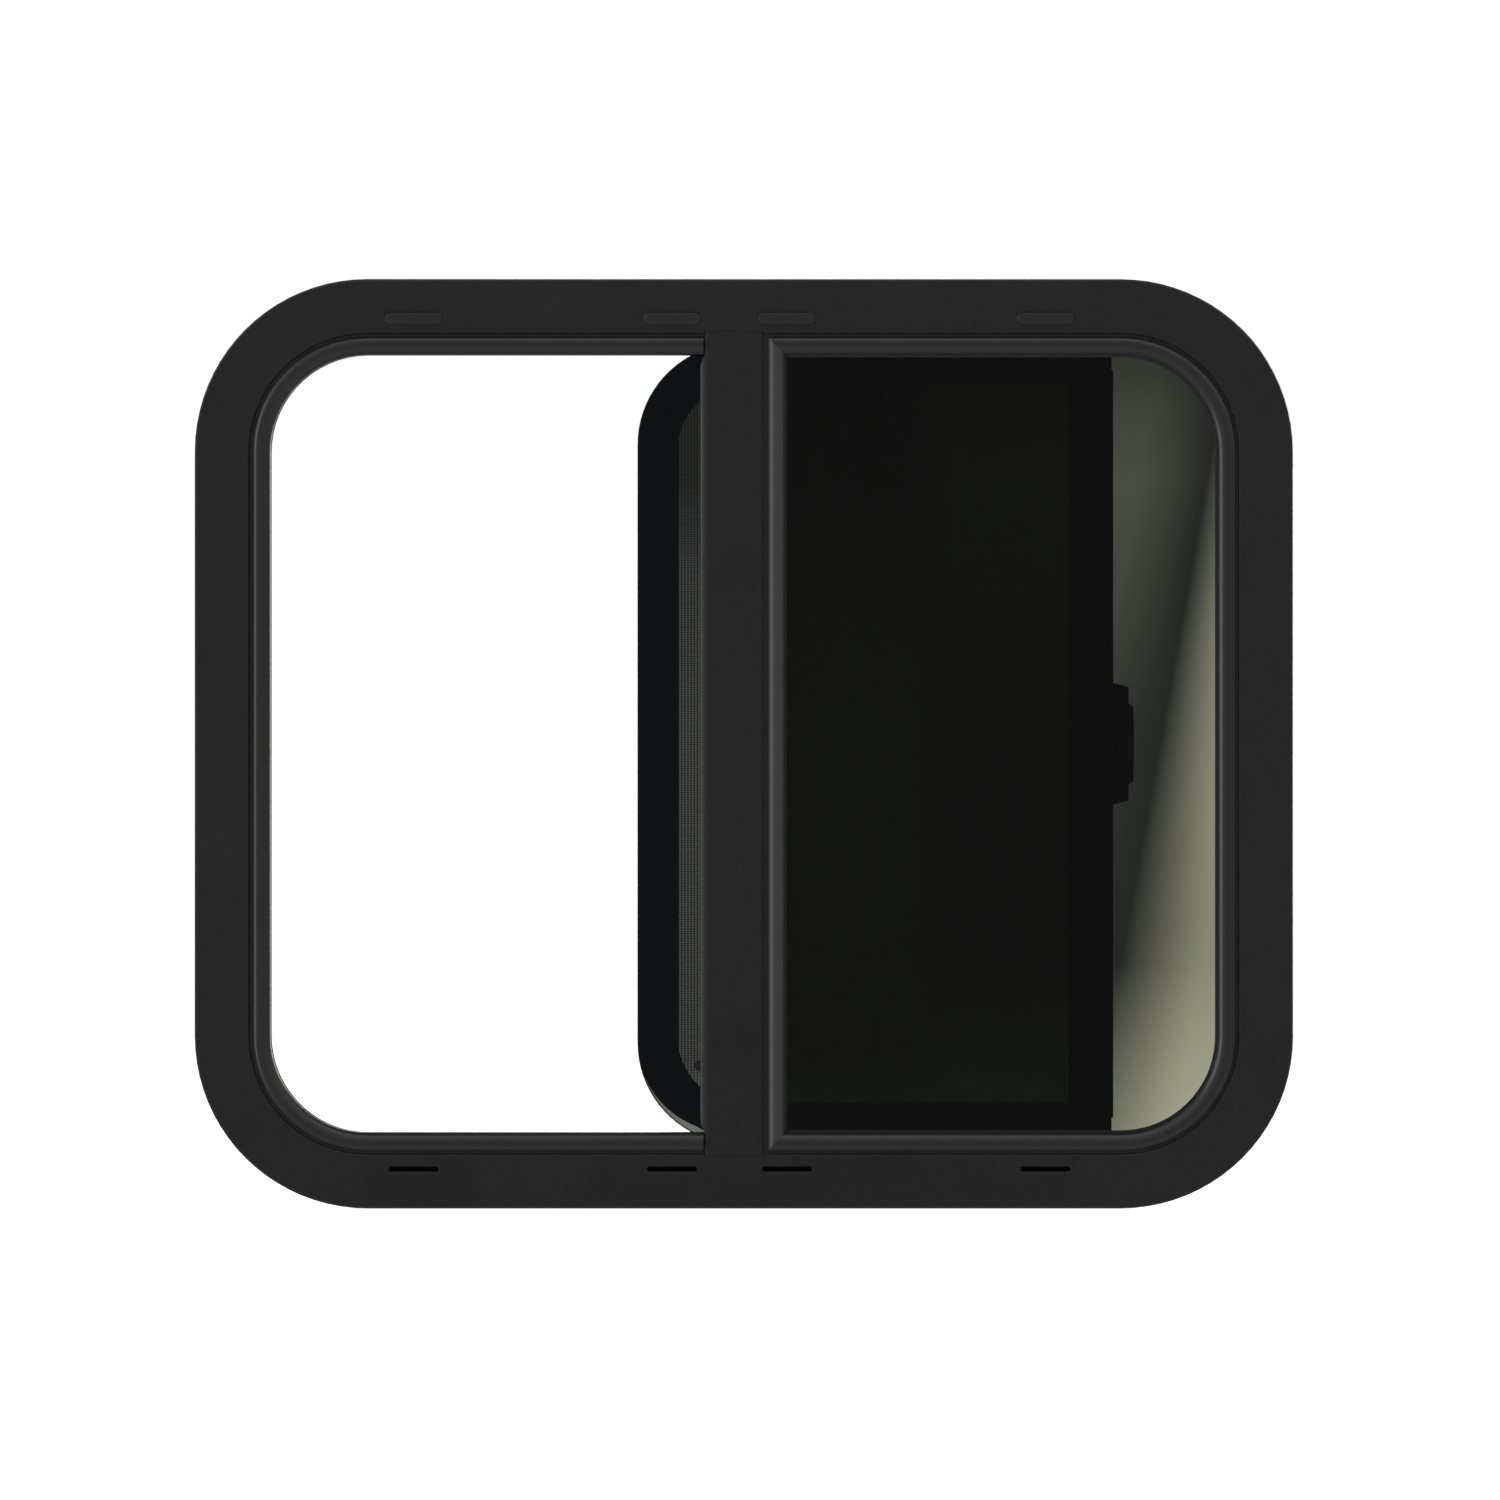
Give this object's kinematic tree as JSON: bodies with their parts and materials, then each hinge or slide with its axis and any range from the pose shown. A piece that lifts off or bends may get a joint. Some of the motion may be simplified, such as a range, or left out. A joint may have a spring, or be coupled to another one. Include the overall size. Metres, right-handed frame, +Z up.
{
  "type": "caravan window",
  "caption": "Half-sliding caravan window: rounded clamp-in aluminium frame, tinted fixed pane, tinted sliding pane with a spring latch, and a sliding insect screen.",
  "frame": {"origin": "centre of the window on the flat back of the outer flange, where it lies on the wall", "axes": "+Z up, +X to the right as seen from outside, +Y into the vehicle; the outer face looks along -Y"},
  "size_m": [0.65, 0.0502, 0.55],
  "materials": {
    "frame": "satin black powder coat",
    "spigot": "mill",
    "rubber": "matt",
    "plastic": "fine grain",
    "nylon": "smooth",
    "steel": "brushed",
    "glass": "tinted, polished",
    "print": "fired black ceramic print",
    "screen_metal": "satin black powder coat",
    "mesh": "woven glass fibre"
  },
  "bodies": {
    "frame": {"outer_frame": "frame", "trim_ring": "frame", "mullion": "frame", "mullion_bead": "frame", "mullion_spigot_top": "spigot", "mullion_spigot_bottom": "spigot", "mullion_pile": "rubber", "mullion_button": "plastic", "latch_keeper": "steel", "fixed_glass": "glass", "fixed_glass_gasket": "rubber", "fixed_glass_wedge": "rubber", "top_track": "plastic", "bottom_track": "plastic", "track_stop_top": "rubber", "track_stop_bottom": "rubber", "jamb_seal": "rubber", "slot_cap_1": "plastic", "slot_cap_2": "plastic", "slot_cap_3": "plastic", "slot_cap_4": "plastic"},
    "sash": {"sash_glass": "glass", "sash_print": "print", "sash_stile": "screen_metal", "sash_glide_left": "nylon", "sash_glide_right": "nylon", "latch_base": "plastic", "latch_pin": "steel"},
    "lever": {"latch_lever": "plastic"},
    "screen": {"screen_frame": "screen_metal", "screen_mesh": "mesh", "screen_spline": "rubber", "screen_glide_left": "nylon", "screen_glide_right": "nylon", "screen_pull": "plastic"}
  },
  "joints": [
    {"name": "sash_slide", "type": "slide", "parent": "frame", "child": "sash", "axis": [-1, 0, 0], "range_m": [0, 0.2229]},
    {"name": "screen_slide", "type": "slide", "parent": "frame", "child": "screen", "axis": [-1, 0, 0], "range_m": [0, 0.2229]},
    {"name": "latch_release", "type": "hinge", "parent": "sash", "child": "lever", "pos_m": [0.2209, 0.02235, 0], "axis": [0, 0, 1], "range_deg": [0, 20], "stiffness_Nm_per_rad": 0.3, "springref_deg": -11.46}
  ]
}
